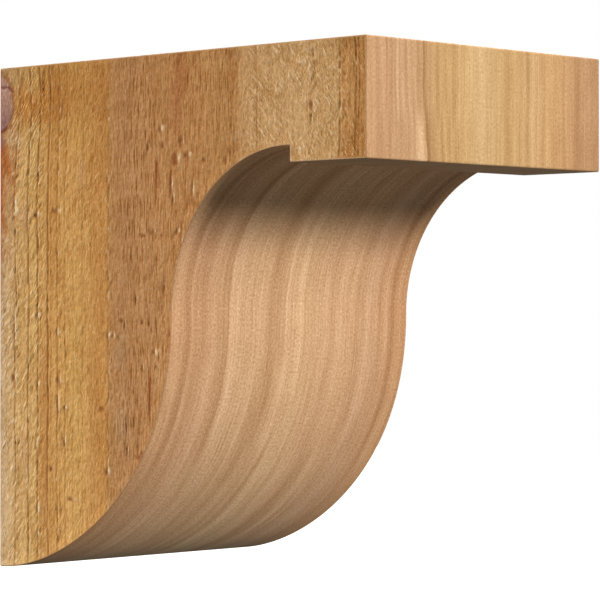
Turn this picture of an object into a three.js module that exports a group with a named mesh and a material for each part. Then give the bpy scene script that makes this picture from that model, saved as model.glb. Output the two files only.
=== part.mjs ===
// A wooden corbel: one block of rough-sawn cedar with a square nosing over an S-curved front.
// Millimetres. X is along the width, Y runs back into the wall and Z is up.
// The origin is the centre of the flat back, where the corbel meets the wall.

import * as THREE from "three";

// Driving dimensions

// The block: 8 inches wide, and 12 inches both deep and high
const WIDTH = 203.2;
const DEPTH = 304.8;
const HEIGHT = 304.8;

// The square nosing, which is what is left of the block's front at the top
const NOSING_DEPTH = 57.7;
const NOSING_HEIGHT = 66.8;

// How far the nosing's back edge hangs below the top of the hollow
const LIP_DROP = 9.4;

// The short level run from the nosing's back to the start of the hollow
const LEDGE_RUN = 1.8;

// The hollow, a quarter of a circle
const HOLLOW_RADIUS = 92.8;

// The level strip left between the belly and the wall
const FOOT_DEPTH = 1.0;

// How hard the belly holds to plumb below the hollow and to level at its foot, as shares of its rise and run
const BELLY_UPPER_PULL = 0.707;
const BELLY_LOWER_PULL = 0.336;

// Straight steps along each curve
const CURVE_STEPS = 44;

// Levels and depths that follow from the driving dimensions, with 0 at the wall and at mid height

const front = -DEPTH;
const foot = -HEIGHT / 2;
const top = HEIGHT / 2;
const nosingBack = front + NOSING_DEPTH;
const nosingUnder = top - NOSING_HEIGHT;
const hollowTop = nosingUnder + LIP_DROP;
const hollowFront = nosingBack + LEDGE_RUN;
const bellyFront = hollowFront + HOLLOW_RADIUS;
const bellyTop = hollowTop - HOLLOW_RADIUS;
const bellyFoot = -FOOT_DEPTH;
const bellyRise = bellyTop - foot;
const bellyRun = bellyFoot - bellyFront;

// The side outline: x is the depth coordinate and y is the height
function sideOutline() {
  const outline = new THREE.Shape();
  outline.moveTo(0, foot);
  outline.lineTo(0, top);
  outline.lineTo(front, top);
  outline.lineTo(front, nosingUnder);
  outline.lineTo(nosingBack, nosingUnder);
  outline.lineTo(nosingBack, hollowTop);
  outline.lineTo(hollowFront, hollowTop);
  outline.absarc(hollowFront, bellyTop, HOLLOW_RADIUS, Math.PI / 2, 0, true);
  outline.bezierCurveTo(
    bellyFront, bellyTop - BELLY_UPPER_PULL * bellyRise,
    bellyFoot - BELLY_LOWER_PULL * bellyRun, foot,
    bellyFoot, foot,
  );
  return outline;
}

// The outline is drawn in depth and height, so it is turned to stand across the width
function acrossTheWidth() {
  const depthAxis = new THREE.Vector3(0, 1, 0);
  const heightAxis = new THREE.Vector3(0, 0, 1);
  const widthAxis = new THREE.Vector3(1, 0, 0);
  return new THREE.Matrix4().makeBasis(depthAxis, heightAxis, widthAxis);
}

const cedar = new THREE.MeshStandardMaterial({ color: 0xc8955c, roughness: 0.8, metalness: 0 });

function makeCorbel() {
  const geometry = new THREE.ExtrudeGeometry(sideOutline(), {
    depth: WIDTH,
    bevelEnabled: false,
    curveSegments: CURVE_STEPS,
  });
  const corbel = new THREE.Mesh(geometry, cedar);
  corbel.name = "corbel";
  corbel.quaternion.setFromRotationMatrix(acrossTheWidth());
  corbel.position.x = -WIDTH / 2;
  return corbel;
}

const bracket = new THREE.Group();
bracket.name = "corbel_bracket";
bracket.add(makeCorbel());

export default bracket;
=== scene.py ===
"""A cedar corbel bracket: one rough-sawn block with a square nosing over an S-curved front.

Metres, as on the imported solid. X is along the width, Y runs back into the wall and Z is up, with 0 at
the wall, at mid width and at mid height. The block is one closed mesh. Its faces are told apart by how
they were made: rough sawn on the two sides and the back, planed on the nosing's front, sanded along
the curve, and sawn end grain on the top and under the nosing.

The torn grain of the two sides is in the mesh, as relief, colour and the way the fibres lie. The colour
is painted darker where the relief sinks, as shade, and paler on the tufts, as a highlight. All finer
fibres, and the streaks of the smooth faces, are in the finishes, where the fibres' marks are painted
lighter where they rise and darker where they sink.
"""

import logging
import math
from dataclasses import dataclass
from enum import Enum

import bpy
import numpy as np
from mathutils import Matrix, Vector
from mathutils.geometry import delaunay_2d_cdt


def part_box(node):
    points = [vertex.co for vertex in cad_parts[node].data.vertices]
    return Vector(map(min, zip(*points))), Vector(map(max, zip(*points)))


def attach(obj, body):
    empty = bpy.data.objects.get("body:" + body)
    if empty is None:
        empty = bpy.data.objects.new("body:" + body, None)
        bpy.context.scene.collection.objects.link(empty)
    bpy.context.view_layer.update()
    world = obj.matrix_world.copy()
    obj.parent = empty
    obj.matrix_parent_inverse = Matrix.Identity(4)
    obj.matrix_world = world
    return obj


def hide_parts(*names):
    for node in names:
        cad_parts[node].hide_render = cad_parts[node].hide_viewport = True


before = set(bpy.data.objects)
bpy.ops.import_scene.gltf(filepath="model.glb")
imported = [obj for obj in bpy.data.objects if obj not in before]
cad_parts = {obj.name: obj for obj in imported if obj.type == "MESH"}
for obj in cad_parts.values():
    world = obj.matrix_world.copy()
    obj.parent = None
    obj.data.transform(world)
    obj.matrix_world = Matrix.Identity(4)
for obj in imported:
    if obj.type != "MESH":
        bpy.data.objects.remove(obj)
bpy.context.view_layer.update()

log = logging.getLogger("corbel")

MM = 0.001

# Rows of a place and a colour, of a place and a tone, and of an amount and a cell, then socket values
Stops = tuple[tuple[float, str], ...]
Tones = tuple[tuple[float, float], ...]
Layers = tuple[tuple[float, tuple[float, float]], ...]
Inputs = dict[int | str, object]


class Face(Enum):
    """The faces of the block, with the number of each one's finish."""

    NEAR_SIDE = 0
    FAR_SIDE = 1
    NOSING_FRONT = 2
    CURVE = 3
    TOP = 4
    NOSING_UNDER = 5
    BACK = 6


# Colour and number helpers


def linear(colour: str) -> tuple[float, float, float, float]:
    """Turns an sRGB colour into the linear colour that shaders take.

    Each channel is c / 12.92 up to 0.04045 and ((c + 0.055) / 1.055) to the power 2.4 above it.

    Args:
        colour: The colour as #RRGGBB.

    Returns:
        Red, green, blue and an alpha of 1.
    """
    parts = [int(colour[i:i + 2], 16) / 255 for i in (1, 3, 5)]
    bent = [c / 12.92 if c <= 0.04045 else ((c + 0.055) / 1.055) ** 2.4 for c in parts]
    return (bent[0], bent[1], bent[2], 1.0)


def smooth_step(low: float, high: float, values: np.ndarray) -> np.ndarray:
    """Rises from 0 at low to 1 at high as s * s * (3 - 2 * s).

    Args:
        low: Where the rise starts.
        high: Where the rise ends.
        values: The values to turn into shares.

    Returns:
        An array of shares from 0 to 1.
    """
    share = np.clip((values - low) / (high - low), 0, 1)
    return share * share * (3 - 2 * share)


def hump(values: np.ndarray, centre: float, width: float) -> np.ndarray:
    """A soft hump of height 1: e to the power of minus the square of the distance over the width.

    Args:
        values: Where the hump is read.
        centre: Where its top lies.
        width: How far from the top it falls to about a third.

    Returns:
        An array of heights from 0 to 1.
    """
    return np.exp(-((values - centre) / width) ** 2)


def cloud(across: np.ndarray, along: np.ndarray, cell: tuple[float, float], seed: int) -> np.ndarray:
    """Smooth random values on a surface, drawn out along the grain.

    Every corner of a lattice with the given cell gets a random value, and a point blends the four
    corners around it with smooth steps.

    Args:
        across: Place across the grain of each point.
        along: Place along the grain of each point.
        cell: Size of a lattice cell, across and along.
        seed: Seed of the random values.

    Returns:
        Values from -1 to 1.
    """
    column = (across - across.min()) / cell[0]
    row = (along - along.min()) / cell[1]
    left, low = np.floor(column).astype(int), np.floor(row).astype(int)
    corners = np.random.default_rng(seed).uniform(-1, 1, (left.max() + 2, low.max() + 2))
    right = smooth_step(0, 1, column - left)
    up = smooth_step(0, 1, row - low)
    below = corners[left, low] * (1 - right) + corners[left + 1, low] * right
    above = corners[left, low + 1] * (1 - right) + corners[left + 1, low + 1] * right
    return below * (1 - up) + above * up


def stops_at(stops: Stops, places: np.ndarray) -> np.ndarray:
    """Reads a row of colours at given places, blended between the stops in linear light.

    Args:
        stops: A place and a colour for each stop.
        places: Where to read.

    Returns:
        Linear red, green and blue, one row a place.
    """
    at = [stop[0] for stop in stops]
    colours = np.array([linear(stop[1])[:3] for stop in stops])
    return np.stack([np.interp(places, at, channel) for channel in colours.T], 1)


def blend(under: np.ndarray, colour: str, share: np.ndarray) -> np.ndarray:
    """Lays a colour over others: under * (1 - share) + colour * share.

    Args:
        under: Linear colours, one a row.
        colour: The colour on top, as #RRGGBB.
        share: How much of it shows in each row.

    Returns:
        The blended colours.
    """
    return under * (1 - share[:, None]) + np.array(linear(colour)[:3]) * share[:, None]


def uneven(factor: tuple[float, float, float, float], values: np.ndarray) -> np.ndarray:
    """A factor that a cloud varies: middle + swing * values, kept between a least and a most.

    Args:
        factor: Its middle, swing, least and most.
        values: The cloud, from -1 to 1.

    Returns:
        The factor at each point.
    """
    middle, swing_by, least, most = factor
    return np.clip(middle + swing_by * values, least, most)


# The block's outline


@dataclass(frozen=True)
class BlockSizes:
    """Sizes of the block, in metres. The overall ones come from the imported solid."""

    width: float
    depth: float
    height: float
    nosing_depth: float = 57.7 * MM
    nosing_height: float = 66.8 * MM
    lip_drop: float = 9.4 * MM
    ledge_run: float = 1.8 * MM
    hollow_radius: float = 92.8 * MM
    foot_depth: float = 1.0 * MM
    belly_upper_pull: float = 0.707
    belly_lower_pull: float = 0.336
    # How far the edges are eased, and how close points are held beside them
    corner_ease: float = 1.0 * MM
    side_ease: float = 0.6 * MM
    holding: float = 0.3 * MM

    @classmethod
    def from_solid(cls, node: str) -> "BlockSizes":
        """Reads width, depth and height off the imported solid's box."""
        low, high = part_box(node)
        return cls(*(high - low))

    @property
    def front(self) -> float:
        """Depth coordinate of the nosing's front."""
        return -self.depth

    @property
    def top(self) -> float:
        """Height of the flat top."""
        return self.height / 2

    @property
    def foot(self) -> float:
        """Height of the lowest point, where the belly meets the wall."""
        return -self.height / 2

    @property
    def nosing_back(self) -> float:
        """Depth coordinate of the lip behind the nosing."""
        return self.front + self.nosing_depth

    @property
    def nosing_under(self) -> float:
        """Height of the nosing's underside."""
        return self.top - self.nosing_height

    @property
    def hollow_top(self) -> float:
        """Height of the ledge and of the top of the hollow."""
        return self.nosing_under + self.lip_drop


def straight(start: tuple[float, float], end: tuple[float, float], hold: float,
             step: float) -> np.ndarray:
    """Points along a straight edge, with one held close to each end.

    Args:
        start: First point.
        end: Last point.
        hold: Distance of the held points from the ends.
        step: Largest distance between the points in between.

    Returns:
        The points, one a row.
    """
    start_at, end_at = np.array(start), np.array(end)
    length = np.linalg.norm(end_at - start_at)
    inner = np.linspace(hold, length - hold, max(int(math.ceil(length / step)), 2))
    share = np.concatenate([[0], inner, [length]]) / length
    return start_at + share[:, None] * (end_at - start_at)


def arc(centre: tuple[float, float], radius: float, degrees: tuple[float, float],
        count: int) -> np.ndarray:
    """Points on part of a circle: centre plus radius times the cosine and sine of each angle.

    Args:
        centre: Centre of the circle.
        radius: Its radius.
        degrees: First and last angle.
        count: How many points.

    Returns:
        The points, one a row.
    """
    angle = np.radians(np.linspace(*degrees, count))
    return np.array(centre) + radius * np.stack([np.cos(angle), np.sin(angle)], 1)


def cubic(corners: list[tuple[float, float]], count: int) -> np.ndarray:
    """Points on a curve pulled by two inner corners, weighted (1-t)^3, 3t(1-t)^2, 3t^2(1-t) and t^3.

    Args:
        corners: Start, the two pulls and end.
        count: How many points.

    Returns:
        The points, one a row.
    """
    t = np.linspace(0, 1, count)[:, None]
    weights = [(1 - t) ** 3, 3 * t * (1 - t) ** 2, 3 * t ** 2 * (1 - t), t ** 3]
    return sum(weight * np.array(corner) for weight, corner in zip(weights, corners))


class Outline:
    """The closed side outline as depth and height, going round over the top, the front and the curve."""

    STEP = 3 * MM
    EASE_POINTS = 5
    HOLLOW_POINTS = 56
    BELLY_POINTS = 90
    PLACES_AT_ONCE = 4000

    def __init__(self, sizes: BlockSizes) -> None:
        """Lays the stretches end to end and works out the mitres and the distance run.

        Args:
            sizes: The block's sizes.
        """
        self.sizes = sizes
        stretches = self.stretches()
        self.points = np.concatenate([points[:-1] for _, points in stretches])
        self.faces = np.concatenate([np.full(len(points) - 1, face.value) for face, points in stretches])
        after = np.roll(self.points, -1, axis=0) - self.points
        length = np.linalg.norm(after, axis=1)
        outward = np.stack([after[:, 1], -after[:, 0]], 1) / length[:, None]
        before = np.roll(outward, 1, axis=0)
        self.mitres = (before + outward) / (1 + (before * outward).sum(1))[:, None]
        self.travel = np.concatenate([[0], np.cumsum(length)])

    def stretches(self) -> list[tuple[Face, np.ndarray]]:
        """Makes the outline's stretches in order, with the square corners eased.

        Returns:
            Each stretch's face and its points, the last one being the next stretch's first.
        """
        s, ease, hold, step = self.sizes, self.sizes.corner_ease, self.sizes.holding, self.STEP
        count = self.EASE_POINTS
        hollow_front = s.nosing_back + s.ledge_run
        belly_front, belly_top = hollow_front + s.hollow_radius, s.hollow_top - s.hollow_radius
        belly_foot = -s.foot_depth
        ledge = straight((s.nosing_back, s.hollow_top), (hollow_front, s.hollow_top), hold, step)
        hollow = arc((hollow_front, belly_top), s.hollow_radius, (90, 0), self.HOLLOW_POINTS)
        belly = cubic([
            (belly_front, belly_top),
            (belly_front, belly_top - s.belly_upper_pull * (belly_top - s.foot)),
            (belly_foot - s.belly_lower_pull * (belly_foot - belly_front), s.foot),
            (belly_foot, s.foot),
        ], self.BELLY_POINTS)
        return [
            (Face.TOP, straight((-ease, s.top), (s.front + ease, s.top), hold, step)),
            (Face.NOSING_FRONT, arc((s.front + ease, s.top - ease), ease, (90, 180), count)),
            (Face.NOSING_FRONT, straight(
                (s.front, s.top - ease), (s.front, s.nosing_under + ease), hold, step)),
            (Face.NOSING_FRONT, arc((s.front + ease, s.nosing_under + ease), ease, (180, 270), count)),
            (Face.NOSING_UNDER, straight(
                (s.front + ease, s.nosing_under), (s.nosing_back - ease, s.nosing_under), hold, step)),
            (Face.NOSING_UNDER, arc(
                (s.nosing_back - ease, s.nosing_under + ease), ease, (270, 360), count)),
            (Face.NOSING_UNDER, straight(
                (s.nosing_back, s.nosing_under + ease), (s.nosing_back, s.hollow_top), hold, step)),
            (Face.CURVE, np.concatenate([ledge[:-1], hollow[:-1], belly])),
            (Face.BACK, arc((-ease, s.foot + ease), ease, (270, 360), count)),
            (Face.BACK, straight((0, s.foot + ease), (0, s.top - ease), hold, step)),
            (Face.BACK, arc((-ease, s.top - ease), ease, (0, 90), count)),
        ]

    def inset(self, distance: float) -> np.ndarray:
        """The outline moved into the wood by a distance, along its mitres."""
        return self.points - distance * self.mitres

    def depth_inside(self, places: np.ndarray) -> np.ndarray:
        """Distance from places to the nearest edge of the outline, negative outside it.

        Each edge gives the distance to its nearest point. A place is inside if a level ray from it
        crosses an odd number of edges.

        Args:
            places: Depth and height of each place, one a row.

        Returns:
            A distance for each place.
        """
        start, edge = self.points, np.roll(self.points, -1, axis=0) - self.points
        found = []
        for some in np.array_split(places, max(len(places) // self.PLACES_AT_ONCE, 1)):
            offset = some[:, None] - start
            share = np.clip((offset * edge).sum(2) / (edge ** 2).sum(1), 0, 1)
            distance = np.linalg.norm(offset - share[..., None] * edge, axis=2).min(1)
            over = (offset[..., 1] >= 0) != (offset[..., 1] - edge[:, 1] >= 0)
            level = np.where(edge[:, 1] == 0, 1, edge[:, 1])
            crossing = start[:, 0] + offset[..., 1] / level * edge[:, 0] > some[:, :1]
            inside = (over & crossing).sum(1) % 2 == 1
            found.append(np.where(inside, distance, -distance))
        return np.concatenate(found)


# What the saw and the tree left on a side


@dataclass(frozen=True)
class Felt:
    """A stretch of a side, in millimetres from the front, where lifted fibres lean one way.

    The lean is in degrees from plumb, towards the front at the top, and the lift is in millimetres.
    """

    low: float
    high: float
    lean: float
    lift: float

    def cover(self, places: np.ndarray, edge: float) -> np.ndarray:
        """Share of 1 inside the stretch that falls to 0 over twice the edge at each end.

        Args:
            places: Millimetres from the front.
            edge: How far the fall reaches to each side of an end, in millimetres.

        Returns:
            The share at each place.
        """
        start = smooth_step(self.low - edge, self.low + edge, places)
        return start * smooth_step(self.high + edge, self.high - edge, places)


@dataclass(frozen=True)
class GrainLine:
    """A hard dark grain line: millimetres from the front, strength, and how much is torn beside it."""

    depth: float
    strength: float
    torn: float = 0.0


@dataclass(frozen=True)
class DashBand:
    """A band of short dark dashes along the grain: centre and width in millimetres, and density."""

    centre: float
    width: float
    density: float


@dataclass(frozen=True)
class Tear:
    """A torn pit with a pale tuft on its front side, the pit painted darker as shade and the tuft paler
    as a highlight: centre and half sizes, in millimetres.
    """

    depth: float
    height: float
    width: float
    length: float
    tuft: float = 1.0


@dataclass(frozen=True)
class Check:
    """A narrow split that tapers downwards: place, top, foot and width in millimetres, and redness."""

    depth: float
    top: float
    foot: float
    width: float
    redness: float


@dataclass(frozen=True)
class Patch:
    """A soft-edged patch of another colour: centre and half sizes in millimetres, and lean in degrees.

    The edge is where the colour starts and is full, in half sizes, and it is as ragged as the cloud
    that is added to it.
    """

    depth: float
    height: float
    wide: float
    tall: float
    colour: str
    share: float
    lean: float = 0.0

    EDGE = (1.5, 0.3)
    RAGGED = 0.3


@dataclass(frozen=True)
class Knot:
    """A knot cut by the wall edge: centre and half sizes, and its cracks' heights, slopes and waves.

    The rim, the heart and a crack's end are where each starts and is full, in half sizes of the knot,
    and a crack's width is the same in millimetres.
    """

    depth: float
    height: float
    wide: float
    tall: float
    cracks: tuple[tuple[float, float, float], ...]
    upper: str = "#AC806A"
    lower: str = "#90665A"
    rim: str = "#96602F"
    crack: str = "#6B2A18"

    RIM = (1.2, 0.95)
    HEART = (1.0, 0.86)
    RAGGED = 0.07
    RINGS = 0.05
    RING_TURNS = 26
    SPECKLE = 0.12
    SMOOTHING = 0.6
    CRACK_TURNS = 0.6
    CRACK_WIDTH = (1.1, 0.3)
    CRACK_END = (1.15, 0.95)
    CRACK_SHARE = 0.85
    CRACK_DEPTH = 0.3


@dataclass(frozen=True)
class SideLook:
    """Everything that tells one sawn side from the other, in millimetres from the front and the foot.

    The step is the mesh's, along the depth and the height. The climb is a tone at each height. It holds
    in full behind its start, in part for a way in front of it, and not at all further on.
    """

    step: tuple[float, float]
    seed: int
    colours: Stops
    climb: Tones
    climb_start: float
    lines: tuple[GrainLine, ...]
    felts: tuple[Felt, ...]
    dashes: tuple[DashBand, ...] = ()
    tears: tuple[Tear, ...] = ()
    checks: tuple[Check, ...] = ()
    patches: tuple[Patch, ...] = ()
    knot: Knot | None = None


@dataclass
class Skin:
    """What a side has gathered so far, point by point.

    The depth is in millimetres below the resting one and the tone multiplies the colour. The others are
    shares of the colours that are laid over it.
    """

    depth: np.ndarray
    tone: np.ndarray
    lined: np.ndarray
    dashed: np.ndarray
    torn: np.ndarray
    split: np.ndarray
    pale: np.ndarray

    def darken(self, share: np.ndarray, amount: float, most: float = 1.0) -> None:
        """Multiplies the tone by 1 - amount * share, with the share kept between 0 and the most."""
        self.tone *= 1 - amount * np.clip(share, 0, most)

    def whiten(self, share: np.ndarray) -> None:
        """Keeps the larger of the pale share so far and this one."""
        self.pale = np.maximum(self.pale, share)


class SawnSide:
    """One rough-sawn side: its points, with their grain place, relief and colour.

    Lengths and heights are in millimetres where they aren't multiplied by MM. A CELL is the size of a
    cloud's cell across and along the grain, a RISE is where a share of a cloud starts and is full, and
    an UNEVEN is the middle, the swing, the least and the most of a factor that a cloud varies.
    """

    # How close to the rim the inner points come, and how the relief rests and fades out towards it
    RIM_CLEARANCE = 0.9 * MM / 3
    RIM_HOLD = 0.2 * MM
    FADE = 1.2 * MM
    LEVEL_FADE = 7 * MM
    REST = 0.36
    DEEPEST = 1.1

    # How the grain wanders, and how far it bends round the knot
    WANDERS = ((0.9, (60, 55)), (0.45, (9, 14)))
    KNOT_BEND = 9
    KNOT_REACH = 30

    # The sawn surface: fuzz, straight fibres, lumps and slow waves, and the tones that go with them, and
    # painted shade that darkens the colour where the relief sinks
    RELIEF = ((0.15, (1.3, 1.6)), (0.07, (1.1, 7)), (0.07, (3.0, 3.8)), (0.1, (8, 20)))
    TONES = ((0.06, (2.1, 40)), (0.07, (11, 30)), (0.06, (4, 7)))
    PLAIN_TONE = 1.07
    LEAST_TONE = 0.05
    HOLLOW_SHADE = 0.35
    RAGGED_CELL = (1.5, 2.4)

    # Felt, which lies like combed hair
    FELT_EDGE = 5
    HAIR = 0.6
    HAIR_CELL = (1.6, 5)
    TRESS_CELL = (2.3, 8)
    TRESS_MIDDLE = 0.3

    # Torn wood: depth of a pit, height of a tuft and how far it stands in front, in cells
    PIT = 0.4
    TUFT = 0.36
    TUFT_SHIFT = 0.8
    TORN_RISE = (0.42, 0.85)

    # Hard lines. A strip is how far it lies in front of its line, and its width
    GROOVE = 0.22
    GROOVE_STRIP = (0, 0.6)
    RIDGE = 0.6
    RIDGE_STRIP = (1.5, 0.9)
    TORN_STRIP = (0.6, 2.4)
    TOOTH_STRIP = (2.6, 2.6)
    TOOTH_LEAN = 38
    TOOTH_CELL = (2.2, 7)
    TOOTH_RISE = (0.25, 0.8)
    LINE_PIT_CELL = (1.8, 3.4)
    LINE_CELL = (9, 7)
    LINE_UNEVEN = (0.9, 0.25, 0.4, 1.3)
    GROOVE_SHADE, GROOVE_MOST = 0.34, 1.2
    LINE_PIT_SHADE, TOOTH_SHADE = 0.4, 0.35
    LINE_TUFT = 0.55

    # Dashes pressed along the grain, painted darker, partly as the shade in them
    DASH = 0.098
    DASH_EVERYWHERE = 0.12
    DASH_CELL = (1.0, 6)
    DASH_RISE = (0.3, 0.9)
    DASH_GROUP_CELL = (14, 30)
    DASH_UNEVEN = (1.0, 1.0, 0.2, 1.6)
    DASH_SHADE = 0.2

    # Small torn spots in groups, their pits painted darker as shade and their tufts paler as a highlight
    SPOTS = 0.4
    SPOT_CELL = (2.0, 2.8)
    SPOT_GROUP_CELL = (16, 26)
    SPOT_RISE = (0.3, 0.9)
    SPOT_SHADE = 0.25
    SPOT_TUFT = 0.5

    # Placed tears and checks. A tuft stands a share of its pit's width in front of it and of its length
    # above it, and has a share of its size
    TEAR_UNEVEN = (1.1, 0.7, 0.3, 1.8)
    TEAR_SHADE = 0.2
    TUFT_FRONT, TUFT_UP, TUFT_SIZE = 1.5, 0.3, 0.8
    CHECK_PIT = 0.6
    CHECK_POINT = 0.25
    CHECK_SWAY, CHECK_WAVE = 0.3, 6
    CHECK_ENDS = (6, 2)
    CHECK_SHADE = 0.5

    # The climb's share in front of its start, where that share rises, and how sharp the start is
    CLIMB_SHARE = 0.45
    CLIMB_RISE = (95, 45)
    CLIMB_EDGE = 1

    # Colours laid over the wood, and how much of each shows. The torn colour is torn wood's and also
    # painted
    # # shade in pits and dashes, and the pale colour is pale fibres' and also a painted highlight on
    # tufts
    POWERS = (0.78, 1.1, 1.7)
    WARMTH = (1.0, 0.965, 0.87)
    LINE_COLOUR, LINE_SHARE = "#89541F", 0.5
    TORN_COLOUR, TORN_SHARE, DASH_SHARE = "#8A4F24", 0.85, 0.2
    SPLIT_COLOUR, SPLIT_SHARE = "#8C3F1A", 0.9
    PALE_COLOUR, PALE_SHARE = "#F4DAAA", 0.62

    # How the fine fibres lie, for the finish
    LAY_EDGE = 4
    LAY_LEAN = 15
    LAY_LIFT = 0.2
    LAY_DASH_CELL = (16, 34)
    LAY_DASH_UNEVEN = (1.0, 0.5, 0.4, 1.4)
    LAY_CELL = (10, 12)
    LAY_UNEVEN = (0.9, 0.6, 0.3, 1.5)

    def __init__(self, outline: Outline, look: SideLook) -> None:
        """Spreads the points over the side: its rim, a ring held close to it, and the inner points.

        Args:
            outline: The side's outline.
            look: What the side looks like.
        """
        self.look = look
        sizes = outline.sizes
        column = np.arange(sizes.front, 0, look.step[0] * MM)
        row = np.arange(sizes.foot, sizes.top, look.step[1] * MM)
        depth, height = np.meshgrid(column, row, indexing="ij")
        height[::2] += look.step[1] * MM / 2
        inner = np.stack([depth.ravel(), height.ravel()], 1)
        inside = outline.depth_inside(inner)
        keep = inside > sizes.side_ease + sizes.holding + self.RIM_CLEARANCE
        rim = outline.inset(sizes.side_ease)
        ring = outline.inset(sizes.side_ease + sizes.holding)
        self.places = np.concatenate([rim, ring, inner[keep]])
        shore = np.concatenate([np.zeros(2 * len(rim)), inside[keep] - sizes.side_ease])
        self.fade = smooth_step(self.RIM_HOLD, self.FADE, shore)
        self.level_fade = smooth_step(0, self.LEVEL_FADE, shore)
        self.across, self.along = ((self.places - (sizes.front, sizes.foot)) / MM).T
        self.grain_across = self.across + self.grain_shift()
        self.ragged = self.noise(self.RAGGED_CELL, 20)

    def grain_shift(self) -> np.ndarray:
        """How far, in millimetres, the grain lines stand off their straight course.

        A slow wander along the grain, plus a hump that bends the lines round the knot and fades away
        from it.

        Returns:
            The shift at each point.
        """
        shift = sum(amount * cloud(self.across, self.along, cell, self.look.seed + number)
                    for number, (amount, cell) in enumerate(self.WANDERS))
        knot = self.look.knot
        if knot:
            near = np.exp(-np.maximum(knot.depth - self.across, 0) / self.KNOT_REACH)
            shift += self.KNOT_BEND * near * hump(self.along, knot.height, self.KNOT_REACH)
        return shift

    def grain(self) -> np.ndarray:
        """Place across and along the grain of each point, in metres from the front and the foot."""
        return np.stack([self.grain_across, self.along], 1) * MM

    def noise(self, cell: tuple[float, float], number: int, lean: float = 0.0) -> np.ndarray:
        """A cloud drawn out along the grain, or along a line that leans off it.

        The place across is x * cos(lean) + y * sin(lean), and along it is y * cos(lean) - x * sin(lean).

        Args:
            cell: Size of the cloud's cells, across and along.
            number: Added to the side's seed, so that each cloud is another.
            lean: Degrees from the grain, towards the front at the top.

        Returns:
            Values from -1 to 1.
        """
        turn, x, y = math.radians(lean), self.grain_across, self.along
        aside = x * math.cos(turn) + y * math.sin(turn)
        onward = y * math.cos(turn) - x * math.sin(turn)
        return cloud(aside, onward, cell, self.look.seed + number)

    def layers(self, rows: Layers, first: int) -> np.ndarray:
        """The sum of clouds, each times its own amount.

        Args:
            rows: Amount and cell of each cloud.
            first: The first cloud's number.

        Returns:
            The sum at each point.
        """
        return sum(amount * self.noise(cell, number) for number, (amount, cell) in enumerate(rows, first))

    def pits_and_tufts(self, cell: tuple[float, float], number: int) -> tuple[np.ndarray, np.ndarray]:
        """Torn places where a random cloud is high, and the tufts that stand on their front side.

        Args:
            cell: Size of the cloud's cells, across and along.
            number: The cloud's number.

        Returns:
            Shares from 0 to 1 for the pits and for the tufts.
        """
        twice = np.concatenate([self.grain_across, self.grain_across + self.TUFT_SHIFT * cell[0]])
        values = cloud(twice, np.tile(self.along, 2), cell, self.look.seed + number)
        both = smooth_step(*self.TORN_RISE, values)
        return both[:len(self.across)], both[len(self.across):]

    def dash_density(self) -> np.ndarray:
        """How dense the dashes are at each point: the sum of the bands' humps."""
        return sum(band.density * hump(self.grain_across, band.centre, band.width)
                   for band in self.look.dashes)

    def survey(self) -> tuple[np.ndarray, np.ndarray]:
        """Works out the relief and the colour together, since torn wood is darker and the colour is also
        painted darker where the relief sinks, as shade.

        The relief of the sawn surface and of each feature is added up about a resting depth that fades
        out towards the rim. The tone falls in hollows as painted shade, and each dark feature multiplies
        it, with painted shade in its pits, dashes and teeth.

        Returns:
            Depth below the eased edge's face in millimetres, and linear red, green and blue.
        """
        depth = self.layers(self.RELIEF, 2)
        # Painted shade: the tone falls where the relief is deeper
        tone = self.PLAIN_TONE + self.layers(self.TONES, 6) - self.HOLLOW_SHADE * depth
        skin = Skin(depth, tone, *np.zeros((5, len(depth))))
        self.comb(skin)
        self.cut_lines(skin)
        self.add_dashes(skin)
        self.add_spots(skin)
        self.add_tears(skin)
        self.add_checks(skin)
        depth, colour = skin.depth, self.coloured(skin)
        if self.look.knot:
            depth, colour = self.with_knot(depth, colour)
        sunk = self.REST * self.level_fade + depth * self.fade
        return np.clip(sunk, 0, self.DEEPEST), colour

    def comb(self, skin: Skin) -> None:
        """Lifts the felts: hair, plus tresses that are a coarser cloud's distance from 0, both leaning.

        Args:
            skin: What the side has so far.
        """
        for number, felt in enumerate(self.look.felts):
            combed = self.HAIR * self.noise(self.HAIR_CELL, 30 + number, felt.lean)
            combed += np.abs(self.noise(self.TRESS_CELL, 40 + number, felt.lean)) - self.TRESS_MIDDLE
            combed *= felt.lift * felt.cover(self.grain_across, self.FELT_EDGE)
            skin.depth += combed
            # Painted shade in the hollows between the combed tresses
            skin.tone -= self.HOLLOW_SHADE * combed

    def cut_lines(self, skin: Skin) -> None:
        """Cuts the hard lines: a dark groove by a ridge, with pits, tufts and slanting teeth beside them.

        Args:
            skin: What the side has so far.
        """
        pits, tufts = self.pits_and_tufts(self.LINE_PIT_CELL, 9)
        teeth = smooth_step(*self.TOOTH_RISE, self.noise(self.TOOTH_CELL, 17, self.TOOTH_LEAN))
        whole = uneven(self.LINE_UNEVEN, self.noise(self.LINE_CELL, 10))
        for line in self.look.lines:
            groove, ridge, beside, bite = (
                hump(self.grain_across, line.depth - aside, width) for aside, width in
                (self.GROOVE_STRIP, self.RIDGE_STRIP, self.TORN_STRIP, self.TOOTH_STRIP))
            groove, ridge = line.strength * whole * groove, line.strength * whole * ridge
            beside, bite = line.torn * beside, line.torn * teeth * bite
            skin.depth += self.GROOVE * (groove - self.RIDGE * ridge + bite)
            skin.depth += beside * (self.PIT * pits - self.TUFT * tufts)
            skin.darken(groove, self.GROOVE_SHADE, self.GROOVE_MOST)
            # Painted shade in the torn pits and teeth beside the line, and a painted highlight on its
            # tufts
            skin.darken(beside * pits, self.LINE_PIT_SHADE)
            skin.darken(bite, self.TOOTH_SHADE)
            skin.lined = np.maximum(skin.lined, np.clip(groove, 0, 1))
            skin.whiten(self.LINE_TUFT * beside * tufts)

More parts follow.
